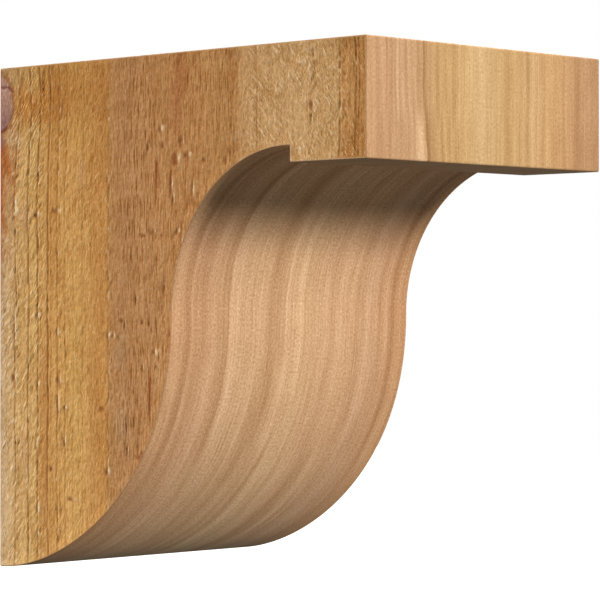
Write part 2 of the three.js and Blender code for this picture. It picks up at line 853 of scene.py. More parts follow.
    def add_dashes(self, skin: Skin) -> None:
        """Presses short dashes along the grain, in groups.

        Args:
            skin: What the side has so far.
        """
        often = self.dash_density() + self.DASH_EVERYWHERE
        often *= uneven(self.DASH_UNEVEN, self.noise(self.DASH_GROUP_CELL, 14))
        skin.dashed = smooth_step(*self.DASH_RISE, self.noise(self.DASH_CELL, 11)) * often
        skin.depth += self.DASH * skin.dashed
        # Painted shade: the sunk dashes are darkened
        skin.darken(skin.dashed, self.DASH_SHADE)

    def add_spots(self, skin: Skin) -> None:
        """Scatters small pits with pale tufts, in groups.

        Args:
            skin: What the side has so far.
        """
        spots, tufts = self.pits_and_tufts(self.SPOT_CELL, 12)
        group = self.SPOTS * smooth_step(*self.SPOT_RISE, self.noise(self.SPOT_GROUP_CELL, 13))
        skin.depth += group * (self.PIT * spots - self.TUFT * tufts)
        # Painted shade in the spots' pits, and a painted highlight on their tufts
        skin.darken(group * spots, self.SPOT_SHADE)
        skin.whiten(self.SPOT_TUFT * group * tufts)

    def add_tears(self, skin: Skin) -> None:
        """Sets in the placed tears, each a ragged pit with its tuft.

        Args:
            skin: What the side has so far.
        """
        ragged = uneven(self.TEAR_UNEVEN, self.ragged)
        for tear in self.look.tears:
            width, length = tear.width, tear.length
            front, above = tear.depth - self.TUFT_FRONT * width, tear.height + self.TUFT_UP * length
            pit = hump(self.across, tear.depth, width) * hump(self.along, tear.height, length) * ragged
            stand = hump(self.across, front, self.TUFT_SIZE * width)
            stand *= hump(self.along, above, self.TUFT_SIZE * length) * ragged * tear.tuft
            skin.depth += self.PIT * pit - self.TUFT * stand
            # Painted shade in the tear's pit, and a painted highlight on its tuft
            skin.darken(pit, self.TEAR_SHADE)
            skin.torn = np.maximum(skin.torn, np.clip(pit, 0, 1))
            skin.whiten(np.clip(stand, 0, 1))

    def add_checks(self, skin: Skin) -> None:
        """Opens the checks: splits that sway a little, wide at the top and pointed at the foot.

        Args:
            skin: What the side has so far.
        """
        y = self.along
        for check in self.look.checks:
            share = np.clip((y - check.foot) / (check.top - check.foot), 0, 1)
            wide = check.width * (self.CHECK_POINT + (1 - self.CHECK_POINT) * share)
            below, above = self.CHECK_ENDS
            ends = smooth_step(check.foot, check.foot + below, y)
            ends *= smooth_step(check.top + above, check.top - above, y)
            sway = self.CHECK_SWAY * np.sin(y / self.CHECK_WAVE)
            body = hump(self.across + sway, check.depth, wide) * ends
            skin.depth += self.CHECK_PIT * self.PIT * body
            skin.split = np.maximum(skin.split, body * (1 - (1 - check.redness) * (1 - share)))
            skin.darken(body, self.CHECK_SHADE)

    def coloured(self, skin: Skin) -> np.ndarray:
        """The colour: the wood's own times the tone, the patches, then each dark and pale feature. The
        tone and the dark features carry painted shade and the pale one a painted highlight, and the
        tone's powers make the painted shade redder.

        Args:
            skin: All that the side has.

        Returns:
            Linear red, green and blue at each point.
        """
        tone = np.maximum(skin.tone * self.climbing(), self.LEAST_TONE)
        colour = stops_at(self.look.colours, self.grain_across) * tone[:, None] ** np.array(self.POWERS)
        colour = self.patched(colour * np.array(self.WARMTH))
        torn = np.clip(self.TORN_SHARE * skin.torn + self.DASH_SHARE * skin.dashed, 0, self.TORN_SHARE)
        colour = blend(colour, self.LINE_COLOUR, self.LINE_SHARE * skin.lined)
        colour = blend(colour, self.TORN_COLOUR, torn)
        colour = blend(colour, self.SPLIT_COLOUR, self.SPLIT_SHARE * skin.split)
        return blend(colour, self.PALE_COLOUR, self.PALE_SHARE * np.clip(skin.pale, 0, 1))

    def climbing(self) -> np.ndarray:
        """The tone up the side, full behind the start of the climb and fading out in front of it.

        Returns:
            The tone at each point, 1 for plain wood.
        """
        heights, tones = zip(*self.look.climb)
        behind = self.grain_across - self.look.climb_start
        start, full = self.CLIMB_RISE
        share = self.CLIMB_SHARE * smooth_step(-start, -full, behind)
        share += (1 - self.CLIMB_SHARE) * smooth_step(-self.CLIMB_EDGE, self.CLIMB_EDGE, behind)
        return 1 + share * (np.interp(self.along, heights, tones) - 1)

    def patched(self, colour: np.ndarray) -> np.ndarray:
        """Lays the patches over the colour, with ragged edges.

        Args:
            colour: Linear red, green and blue at each point.

        Returns:
            The colour with the patches.
        """
        for patch in self.look.patches:
            turn = math.radians(patch.lean)
            off, up = self.across - patch.depth, self.along - patch.height
            aside = (off * math.cos(turn) + up * math.sin(turn)) / patch.wide
            onward = (up * math.cos(turn) - off * math.sin(turn)) / patch.tall
            share = smooth_step(*patch.EDGE, np.hypot(aside, onward) + patch.RAGGED * self.ragged)
            colour = blend(colour, patch.colour, patch.share * share)
        return colour

    def with_knot(self, depth: np.ndarray, colour: np.ndarray) -> tuple[np.ndarray, np.ndarray]:
        """Sets the knot into the side: hard and smoother than the wood round it, with a rim and cracks.

        Args:
            depth: Depth about the resting one, in millimetres.
            colour: Linear red, green and blue.

        Returns:
            Both with the knot.
        """
        knot = self.look.knot
        off, up = self.across - knot.depth, self.along - knot.height
        away = np.hypot(off / knot.wide, up / knot.tall) + knot.RAGGED * self.ragged
        rim, heart = smooth_step(*knot.RIM, away), smooth_step(*knot.HEART, away)
        rings = 1 + knot.RINGS * np.sin(knot.RING_TURNS * away) + knot.SPECKLE * self.ragged
        dusk = blend(np.tile(linear(knot.upper)[:3], (len(off), 1)), knot.lower,
                     smooth_step(0.5 * knot.tall, -knot.tall, up)) * rings[:, None]
        colour = blend(colour, knot.rim, rim)
        colour = colour * (1 - heart[:, None]) + dusk * heart[:, None]
        depth = depth * (1 - knot.SMOOTHING * heart)
        for height, slope, wave in knot.cracks:
            gap = np.abs(up - height - slope * off - wave * np.sin(knot.CRACK_TURNS * off))
            crack = smooth_step(*knot.CRACK_WIDTH, gap) * smooth_step(*knot.CRACK_END, away)
            colour = blend(colour, knot.crack, knot.CRACK_SHARE * crack)
            depth = depth + knot.CRACK_DEPTH * crack
        return depth, colour

    def lay(self) -> np.ndarray:
        """How the fine fibres lie at each point, for the finish to draw.

        Returns:
            Shares of straight dashes, of strokes whose tops lean to the wall and of strokes whose tops
            lean to the front.
        """
        seed, count = self.look.seed, len(self.across)
        groups = cloud(self.across, self.along, self.LAY_DASH_CELL, seed + 15)
        dashes = self.dash_density() * uneven(self.LAY_DASH_UNEVEN, groups)
        to_wall, to_front = np.zeros(count), np.zeros(count)
        for felt in self.look.felts:
            part = felt.lift / self.LAY_LIFT * felt.cover(self.grain_across, self.LAY_EDGE)
            if felt.lean < -self.LAY_LEAN:
                to_wall = np.maximum(to_wall, part)
            elif felt.lean > self.LAY_LEAN:
                to_front = np.maximum(to_front, part)
        strength = uneven(self.LAY_UNEVEN, cloud(self.across, self.along, self.LAY_CELL, seed + 16))
        return np.stack([dashes, to_wall * strength, to_front * strength], 1)


# The block as one mesh


class CorbelBlock:
    """The whole block as one closed mesh with a finish for each way its faces were made."""

    NAME = "cedar_corbel"
    NODE = "corbel"
    COLUMN_STEP = 9 * MM
    EASE_COLUMNS = 5
    SAME_POINT = 1e-5

    def __init__(self, outline: Outline) -> None:
        """Takes the outline and works out the columns across the width.

        Args:
            outline: The block's side outline.
        """
        self.outline = outline
        self.sizes = outline.sizes
        half, ease, hold = self.sizes.width / 2, self.sizes.side_ease, self.sizes.holding
        angle = np.radians(np.linspace(90, 0, self.EASE_COLUMNS))
        rim = half - ease + ease * np.sin(angle)
        rim_inset = ease * (1 - np.cos(angle))
        count = int(self.sizes.width / self.COLUMN_STEP)
        inner = np.linspace(-half + ease + hold, half - ease - hold, count)
        self.columns = np.concatenate([-rim, inner, rim[::-1]])
        self.insets = np.concatenate([rim_inset, 0 * inner, rim_inset[::-1]])

    def tube(self) -> np.ndarray:
        """The faces that run across the width: every outline point at every column.

        Each column takes the outline, drawn in along its mitres near the two sides so that their
        edges are eased by a quarter circle.

        Returns:
            Points by outline place and column.
        """
        drawn = self.outline.points[:, None] - self.insets[None, :, None] * self.outline.mitres[:, None]
        across = np.broadcast_to(self.columns[None, :, None], drawn.shape[:2] + (1,))
        return np.concatenate([across, drawn], 2)

    def side_triangles(self, side: SawnSide) -> np.ndarray:
        """Fills a side with triangles between its rim, a ring held close to it and its inner points.

        Args:
            side: The side with its points, the rim's first.

        Returns:
            Triangles that face +X, as numbers into the side's points.
        """
        rim = list(range(len(self.outline.points)))
        places = (side.places / MM).tolist()
        return np.array(delaunay_2d_cdt(places, [], [rim], 1, self.SAME_POINT)[2])

    def build(self) -> bpy.types.Object:
        """Builds the mesh, with its grain map, the sides' colours and a finish number on each face.

        Returns:
            The piece, at the origin.
        """
        tube = self.tube()
        rows, columns = tube.shape[:2]
        total = rows * columns
        vertices, wood, lay = [tube.reshape(-1, 3)], [np.ones((total, 3))], [np.zeros((total, 3))]
        quads, quad_grain, quad_finish = self.tube_faces(rows, columns)
        triangles, grain, finish = [], [quad_grain.reshape(-1, 2)], [quad_finish]
        for face, look in SIDE_LOOKS.items():
            side = SawnSide(self.outline, look)
            found = self.side_triangles(side)
            outward, column = (-1, 0) if face is Face.NEAR_SIDE else (1, columns - 1)
            rim = np.arange(rows) * columns + column
            depth, colour = side.survey()
            x = outward * (self.sizes.width / 2 - depth[rows:] * MM)
            vertices.append(np.concatenate([x[:, None], side.places[rows:]], 1))
            wood[0][rim] = colour[:rows]
            wood.append(colour[rows:])
            lay.append(side.lay()[rows:])
            corners = found[:, ::outward]
            triangles.append(np.concatenate([rim, total + np.arange(len(x))])[corners])
            grain.append(side.grain()[corners].reshape(-1, 2))
            finish.append(np.full(len(found), face.value))
            total += len(x)
        mesh = bpy.data.meshes.new(self.NAME)
        faces = quads.tolist() + np.concatenate(triangles).tolist()
        mesh.from_pydata(np.concatenate(vertices).tolist(), [], faces)
        mesh.polygons.foreach_set("material_index", np.concatenate(finish))
        mesh.shade_smooth()
        corner_grain = np.concatenate(grain).astype(np.float32)
        mesh.uv_layers.new(name="grain").data.foreach_set("uv", corner_grain.ravel())
        # The sides' colours carry painted shade in hollows, pits and dashes and a painted highlight on
        # tufts
        self.write_colours(mesh, "wood", np.concatenate(wood))
        self.write_colours(mesh, "lay", np.concatenate(lay))
        mesh.update()
        piece = bpy.data.objects.new(self.NAME, mesh)
        bpy.context.scene.collection.objects.link(piece)
        return piece

    def write_colours(self, mesh: bpy.types.Mesh, name: str, values: np.ndarray) -> None:
        """Writes three numbers a point into a colour attribute, for a finish to read.

        Args:
            mesh: The mesh.
            name: The attribute's name.
            values: Three numbers for each point.
        """
        opaque = np.concatenate([values, np.ones((len(values), 1))], 1).astype(np.float32)
        mesh.attributes.new(name, "FLOAT_COLOR", "POINT").data.foreach_set("color", opaque.ravel())

    def tube_faces(self, rows: int, columns: int) -> tuple[np.ndarray, np.ndarray, np.ndarray]:
        """The tube's four-sided faces, going round the outline and across the width.

        The grain map gives each corner its distance from the near side and its distance run from
        the start of its own face.

        Args:
            rows: Outline points.
            columns: Columns across the width.

        Returns:
            Corner numbers, corner grain places and finish numbers.
        """
        row, column = np.meshgrid(np.arange(rows), np.arange(columns - 1), indexing="ij")
        onward = (row + 1) % rows
        corner_rows = np.stack([row, onward, onward, row], 2)
        corner_columns = np.stack([column, column, column + 1, column + 1], 2)
        quads = (corner_rows * columns + corner_columns).reshape(-1, 4)
        faces = self.outline.faces
        first = {value: self.outline.travel[np.argmax(faces == value)] for value in np.unique(faces)}
        start = np.array([first[value] for value in faces])
        corner_travel = np.stack([row, row + 1, row + 1, row], 2)
        run = self.outline.travel[corner_travel] - start[row][..., None]
        across = self.columns[corner_columns] + self.sizes.width / 2
        grain = np.stack([across, run], 3).reshape(-1, 4, 2)
        return quads, grain, faces[row].ravel()

    def make(self) -> bpy.types.Object:
        """Builds the piece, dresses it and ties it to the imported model.

        Returns:
            The finished piece.
        """
        piece = self.build()
        for finish in FINISHES:
            piece.data.materials.append(finish.build())
        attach(piece, "root")
        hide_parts(self.NODE)
        return piece


# Finishes


class NodeSheet:
    """The nodes of one finish, or of the surround."""

    WOOD_IOR = 1.45
    NOISE_ROUGHNESS = 0.55

    def __init__(self, owner: bpy.types.Material | bpy.types.World) -> None:
        """Starts an empty sheet in a new material or world.

        Args:
            owner: The material or world.
        """
        self.owner = owner
        self.owner.use_nodes = True
        self.tree = self.owner.node_tree
        self.tree.nodes.clear()

    def add(self, kind: str, inputs: Inputs, out: int | str = 0,
            **settings: object) -> bpy.types.NodeSocket | None:
        """Adds a node, sets it up and fills or links its sockets.

        Args:
            kind: The node's type, without its ShaderNode prefix.
            inputs: A value, or another node's socket, for each of its sockets by number or name.
            out: The output to hand back.
            **settings: The node's own properties.

        Returns:
            The chosen output socket, or None from a node without outputs.
        """
        node = self.tree.nodes.new("ShaderNode" + kind)
        for name, value in settings.items():
            setattr(node, name, value)
        for name, value in inputs.items():
            if isinstance(value, bpy.types.NodeSocket):
                self.tree.links.new(value, node.inputs[name])
            else:
                node.inputs[name].default_value = value
        return node.outputs[out] if node.outputs else None

    def finish(self, colour: bpy.types.NodeSocket, height: bpy.types.NodeSocket, roughness: float,
               shine: float = 0.25) -> None:
        """Ends the sheet with dry bare wood: a dull shader under a bump in millimetres.

        Args:
            colour: The wood's colour.
            height: The fine relief, in millimetres.
            roughness: How dull the surface is.
            shine: How much of the usual reflection is left on it.
        """
        normal = self.add("Bump", {"Height": height, "Distance": MM, "Strength": 1.0})
        shader = self.add("BsdfPrincipled", {
            "Base Color": colour, "Normal": normal, "Roughness": roughness, "IOR": self.WOOD_IOR,
            "Specular IOR Level": shine})
        self.add("OutputMaterial", {"Surface": shader})

    def ramp(self, place: bpy.types.NodeSocket, stops: Stops | Tones,
             span: tuple[float, float] | None = None) -> bpy.types.NodeSocket:
        """Colours or tones at given millimetres, blended in between.

        Args:
            place: The place to read at, in metres.
            stops: A place in millimetres and a colour or a tone for each stop.
            span: First and last place in millimetres, or None for those of the stops.

        Returns:
            The blended colour.
        """
        first, last = span or (stops[0][0], stops[-1][0])
        share = self.add("MapRange", {0: place, 1: first * MM, 2: last * MM})
        blended = self.add("ValToRGB", {0: share})
        band = blended.node.color_ramp
        band.interpolation = "EASE" if isinstance(stops[0][1], float) else "LINEAR"
        while len(band.elements) < len(stops):
            band.elements.new(1.0)
        for element, (at, value) in zip(band.elements, stops):
            element.position = (at - first) / (last - first)
            element.color = linear(value) if isinstance(value, str) else (value, value, value, 1.0)
        return blended

    def product(self, *factors: bpy.types.NodeSocket) -> bpy.types.NodeSocket:
        """Multiplies the factors together.

        Args:
            *factors: Two or more numbers.

        Returns:
            Their product.
        """
        made = factors[0]
        for factor in factors[1:]:
            made = self.add("Math", {0: made, 1: factor}, operation="MULTIPLY")
        return made

    def streaks(self, place: bpy.types.NodeSocket, parts: tuple[Tones, ...]) -> bpy.types.NodeSocket:
        """The tone of the listed streaks: the product of the parts' ramps.

        A ramp keeps its end tone outside its own part, so the parts meet at a tone close to 1.

        Args:
            place: The place across the grain, in metres.
            parts: The stops of each part of the width.

        Returns:
            The tone, 1 for plain wood.
        """
        return self.product(*(self.ramp(place, part) for part in parts))

    def fibres(self, grain: bpy.types.NodeSocket, cell: tuple[float, float], seed: float,
               detail: float = 2.0) -> bpy.types.NodeSocket:
        """Noise drawn out along the grain, from 0 to 1 with 0.5 as its middle.

        Args:
            grain: The grain map, in metres.
            cell: Size of a cell in millimetres, across and along.
            seed: Which slice of the noise to take.
            detail: How many finer layers are added.

        Returns:
            The noise.
        """
        size = (1 / (cell[0] * MM), 1 / (cell[1] * MM), 0)
        place = self.add("VectorMath", {0: grain, 1: size, 2: (0, 0, seed)}, operation="MULTIPLY_ADD")
        return self.add("TexNoise", {
            "Vector": place, "Scale": 1.0, "Detail": detail, "Roughness": self.NOISE_ROUGHNESS})

    def swing(self, noise: bpy.types.NodeSocket, amount: float,
              middle: float = 1.0) -> bpy.types.NodeSocket:
        """Turns noise round 0.5 into a number round a middle: middle + amount * (noise - 0.5).

        Args:
            noise: The noise.
            amount: How far it swings for a noise of 1.
            middle: What it swings about.

        Returns:
            The number.
        """
        return self.add("Math", {0: noise, 1: amount, 2: middle - amount / 2}, operation="MULTIPLY_ADD")

    def drifted(self, grain: bpy.types.NodeSocket, cell: tuple[float, float], amount: float,
                seed: float) -> bpy.types.NodeSocket:
        """Moves the grain map to and fro across the grain, so that straight streaks wander.

        Args:
            grain: The grain map, in metres.
            cell: Size of a cell of the wander in millimetres, across and along.
            amount: How far it moves for a noise of 1, in millimetres.
            seed: Which slice of the noise to take.

        Returns:
            The moved grain map.
        """
        aside = self.swing(self.fibres(grain, cell, seed), amount * MM, 0.0)
        return self.add("VectorMath", {0: self.add("CombineXYZ", {0: aside}), 1: grain}, operation="ADD")

    def toned(self, colour: bpy.types.NodeSocket | tuple[float, float, float, float],
              tone: bpy.types.NodeSocket, powers: tuple[float, float, float]) -> bpy.types.NodeSocket:
        """Darkens or lightens wood the way wood does: dark grain is redder, light grain is paler. Painted
        shade in the tone comes out redder in the same way.

        Each channel is multiplied by the tone raised to a power of its own, lowest for red.

        Args:
            colour: The plain wood's colour, as a socket or as red, green, blue and alpha.
            tone: The tone, 1 for plain wood.
            powers: The powers for red, green and blue.

        Returns:
            The toned colour.
        """
        parts = [self.add("Math", {0: tone, 1: power}, operation="POWER") for power in powers]
        shade = self.add("CombineColor", dict(enumerate(parts)))
        return self.add("Mix", {0: 1.0, 6: colour, 7: shade}, out=2, data_type="RGBA",
                        blend_type="MULTIPLY")


@dataclass(frozen=True)
class RoughSawn:
    """Red cedar as the saw left it, over the colour and relief that the mesh carries.

    The eye sees a dull, furry surface. Hair-fine fibres lie between the torn places, as short dark
    dashes along the grain where the mesh's lay is red, and as combed strokes with their tops to the wall
    where it is green and to the front where it is blue. Their light and shade are painted into the colour
    more than made by their height: a dash is painted darker where it sinks and a stroke lighter where it
    rises and darker where it sinks, so that the dark ones stay a warm brown.

    A CELL is in millimetres, across and along the fibres. A lean is as on a Felt.
    """

    name: str
    seed: float

    POWERS = (0.68, 1.1, 2.0)
    ROUGHNESS = 0.9
    SHINE = 0.08

    SPECK_CELL, SPECK_TONE = (1.1, 2.0), 0.95
    THREAD_CELL, THREAD_TONE = (0.9, 7), 0.7
    FUZZ_CELL, FUZZ_HEIGHT = (1.1, 1.7), 0.25
    FINE_DETAIL = 3.0

    DASH_CELL, DASH_DETAIL, DASH_RISE = (0.75, 14), 1.5, (0.5, 0.66)
    # A dash is painted darker, as its shade, more than it is sunk
    DASH_TONE, DASH_HEIGHT = -0.54, -0.05
    BETWEEN_DASHES = 1.04

    LEANS = (-40, 32)
    STROKE_CELL = (2.0, 9)
    STROKE_MIDDLE = 0.09
    # A stroke is painted lighter where it rises and darker where it sinks, as highlight and shade
    STROKE_TONE, STROKE_HEIGHT = 2.4, 1.1

    def build(self) -> bpy.types.Material:
        """Builds the rough-sawn material.

        Returns:
            The material.
        """
        sheet = NodeSheet(bpy.data.materials.new(self.name))
        grain = sheet.add("UVMap", {}, uv_map="grain")
        # The sides' colours, with painted shade in hollows, pits and dashes and a painted highlight on
        # tufts
        wood = sheet.add("Attribute", {}, out="Color", attribute_name="wood")
        lay = sheet.add("Attribute", {}, out="Color", attribute_name="lay")
        dashes, *leaning = (sheet.add("SeparateColor", {0: lay}, out=number) for number in range(3))
        speck = sheet.fibres(grain, self.SPECK_CELL, self.seed, self.FINE_DETAIL)
        thread = sheet.fibres(grain, self.THREAD_CELL, self.seed + 3)
        fuzz = sheet.fibres(grain, self.FUZZ_CELL, self.seed + 6, self.FINE_DETAIL)
        tone = sheet.product(sheet.swing(speck, self.SPECK_TONE), sheet.swing(thread, self.THREAD_TONE))
        height = sheet.swing(fuzz, self.FUZZ_HEIGHT, 0.0)
        low, high = self.DASH_RISE
        dash = sheet.fibres(grain, self.DASH_CELL, self.seed + 9, self.DASH_DETAIL)
        dash = sheet.add("MapRange", {0: dash, 1: low, 2: high}, interpolation_type="SMOOTHSTEP")
        marks = [(sheet.product(dash, dashes), self.DASH_TONE, self.BETWEEN_DASHES, self.DASH_HEIGHT)]
        for number, (lean, share) in enumerate(zip(self.LEANS, leaning)):
            stroke = sheet.product(self.stroke(sheet, grain, lean, self.seed + 12 + number), share)
            marks.append((stroke, self.STROKE_TONE, 1.0, self.STROKE_HEIGHT))
        # Each mark's painted light and shade goes into the tone, its height into the bump
        for mark, mark_tone, plain, rise in marks:
            part = sheet.add("Math", {0: mark, 1: mark_tone, 2: plain}, operation="MULTIPLY_ADD")
            tone = sheet.product(tone, part)
            height = sheet.add("Math", {0: mark, 1: rise, 2: height}, operation="MULTIPLY_ADD")
        sheet.finish(sheet.toned(wood, tone, self.POWERS), height, self.ROUGHNESS, self.SHINE)
        return sheet.owner

    def stroke(self, sheet: NodeSheet, grain: bpy.types.NodeSocket, lean: float,
               seed: float) -> bpy.types.NodeSocket:
        """Combed strokes: how far noise along the lean is from its middle, less its usual distance.

        Args:
            sheet: The sheet to add to.
            grain: The grain map, in metres.
            lean: Degrees from the grain, towards the front at the top.
            seed: Which slice of the noise to take.

        Returns:
            A number round 0, high along the middle of a stroke.
        """
        turned = sheet.add("VectorRotate", {"Vector": grain, "Angle": -math.radians(lean)},
                           rotation_type="Z_AXIS")
        noise = sheet.fibres(turned, self.STROKE_CELL, seed)
        off = sheet.add("Math", {0: noise, 1: 0.5}, operation="SUBTRACT")
        ridge = sheet.add("Math", {0: off}, operation="ABSOLUTE")
        return sheet.add("Math", {0: ridge, 1: self.STROKE_MIDDLE}, operation="SUBTRACT")


@dataclass(frozen=True)
class SmoothCut:
    """Red cedar made smooth across its growth rings, by a planer or by sanding along the curve.

    The eye sees straight soft streaks, dark and reddish or light and creamy, with hair-fine fibre
    lines between them and a faint sanding haze.

    The streaks are placed in millimetres from the near side, once for the start of the face and once
    for its end, and the change is where the first give way to the last. Where there is a course, it and
    the tones beside it say how far along and across the streaks are drawn towards the near side.
    """

    name: str
    width: float
    colours: Stops
    first_streaks: tuple[Tones, ...]
    last_streaks: tuple[Tones, ...]
    change: tuple[float, float]
    haze: float
    strand: float
    roughness: float
    seed: float
    course: Tones = ()
    beside: Tones = ()

    POWERS = (0.8, 1.08, 1.45)
    COURSE_REACH = 5 * MM
    DRIFT_CELL, DRIFT = (40, 70), 5
    STRAND_CELL = (1.1, 90)
    CLOUD_CELL, CLOUD = (6, 22), 0.3
    HAZE_CELL = (1.3, 1.6)
    PORE_CELL, PORE_HEIGHT = (1.0, 2.6), 0.12

    def build(self) -> bpy.types.Material:
        """Builds the smooth material.

        Returns:
            The material.
        """
        sheet = NodeSheet(bpy.data.materials.new(self.name))
        grain = sheet.add("UVMap", {}, uv_map="grain")
        drift = sheet.drifted(grain, self.DRIFT_CELL, self.DRIFT, self.seed)
        across = sheet.add("SeparateXYZ", {0: drift}, out=0)
        along = sheet.add("SeparateXYZ", {0: drift}, out=1)
        if self.course:
            share = sheet.product(sheet.ramp(along, self.course), sheet.ramp(across, self.beside))
            across = sheet.add("Math", {0: share, 1: -self.COURSE_REACH, 2: across},
                               operation="MULTIPLY_ADD")
        change = sheet.add("MapRange", {0: along, 1: self.change[0] * MM, 2: self.change[1] * MM},
                           interpolation_type="SMOOTHSTEP")
        first = sheet.streaks(across, self.first_streaks)
        last = sheet.streaks(across, self.last_streaks)
        tone = sheet.product(
            sheet.add("Mix", {0: change, 2: first, 3: last}, data_type="FLOAT"),
            sheet.swing(sheet.fibres(drift, self.STRAND_CELL, self.seed + 2), self.strand),
            sheet.swing(sheet.fibres(drift, self.CLOUD_CELL, self.seed + 4), self.CLOUD),
            sheet.swing(sheet.fibres(drift, self.HAZE_CELL, self.seed + 6), self.haze))
        base = sheet.ramp(across, self.colours, (0, self.width))
        height = sheet.swing(sheet.fibres(drift, self.PORE_CELL, self.seed + 8), self.PORE_HEIGHT, 0.0)
        sheet.finish(sheet.toned(base, tone, self.POWERS), height, self.roughness)
        return sheet.owner


@dataclass(frozen=True)
class SawnEnd:
    """Red cedar sawn across the fibres, or a plain sawn back: rings as soft lines, and saw marks.

    The eye sees a duller, browner face. Growth rings run straight, or curve round the heart where one
    is given in millimetres on the grain map, and the saw's teeth leave faint ridges at a steady pitch.
    """

    name: str
    colour: str
    ring: float
    tooth_pitch: float
    seed: float
    heart: tuple[float, float] | None = None

    POWERS = (0.8, 1.08, 1.5)
    ROUGHNESS = 0.9
    WANDER_CELL, WANDER = (60, 90), 6
    RING_LENGTH, RING_DETAIL = 400, 1.0
    RING_RISE = (0.42, 0.66)
    EARLY_WOOD, LATE_WOOD = 1.06, 0.76
    SPECK_CELL, SPECK = (0.9, 1.6), 0.5
    CLOUD_CELL, CLOUD = (14, 26), 0.3
    ROUGH_CELL, ROUGH_HEIGHT = (1.0, 2.2), 0.35
    FINE_DETAIL = 3.0
    TOOTH_TONE, TOOTH_HEIGHT = 0.015, 0.02

    def build(self) -> bpy.types.Material:
        """Builds the sawn end or back material.

        Returns:
            The material.
        """
        sheet = NodeSheet(bpy.data.materials.new(self.name))
        grain = sheet.add("UVMap", {}, uv_map="grain")
        bent = sheet.drifted(grain, self.WANDER_CELL, self.WANDER, self.seed)
        if self.heart:
            centre = (self.heart[0] * MM, self.heart[1] * MM, 0)
            away = sheet.add("VectorMath", {0: bent, 1: centre}, out="Value", operation="DISTANCE")
            bent = sheet.add("CombineXYZ", {0: away})
        rings = sheet.fibres(bent, (self.ring, self.RING_LENGTH), self.seed + 2, self.RING_DETAIL)
        along = sheet.add("SeparateXYZ", {0: grain}, out=1)
        turns = sheet.add("Math", {0: along, 1: math.tau / (self.tooth_pitch * MM)}, operation="MULTIPLY")
        teeth = sheet.add("Math", {0: turns}, operation="SINE")
        speck = sheet.fibres(grain, self.SPECK_CELL, self.seed + 4, self.FINE_DETAIL)
        low, high = self.RING_RISE
        late = sheet.add("MapRange", {0: rings, 1: low, 2: high}, interpolation_type="SMOOTHSTEP")
        tone = sheet.product(
            sheet.add("MapRange", {0: late, 3: self.EARLY_WOOD, 4: self.LATE_WOOD}),
            sheet.swing(speck, self.SPECK),
            sheet.swing(sheet.fibres(grain, self.CLOUD_CELL, self.seed + 6), self.CLOUD),
            sheet.add("Math", {0: teeth, 1: self.TOOTH_TONE, 2: 1.0}, operation="MULTIPLY_ADD"))
        rough = sheet.fibres(grain, self.ROUGH_CELL, self.seed + 8, self.FINE_DETAIL)
        rough = sheet.swing(rough, self.ROUGH_HEIGHT, 0.0)
        height = sheet.add("Math", {0: teeth, 1: self.TOOTH_HEIGHT, 2: rough}, operation="MULTIPLY_ADD")
        sheet.finish(sheet.toned(linear(self.colour), tone, self.POWERS), height, self.ROUGHNESS)
        return sheet.owner


BLOCK = BlockSizes.from_solid(CorbelBlock.NODE)

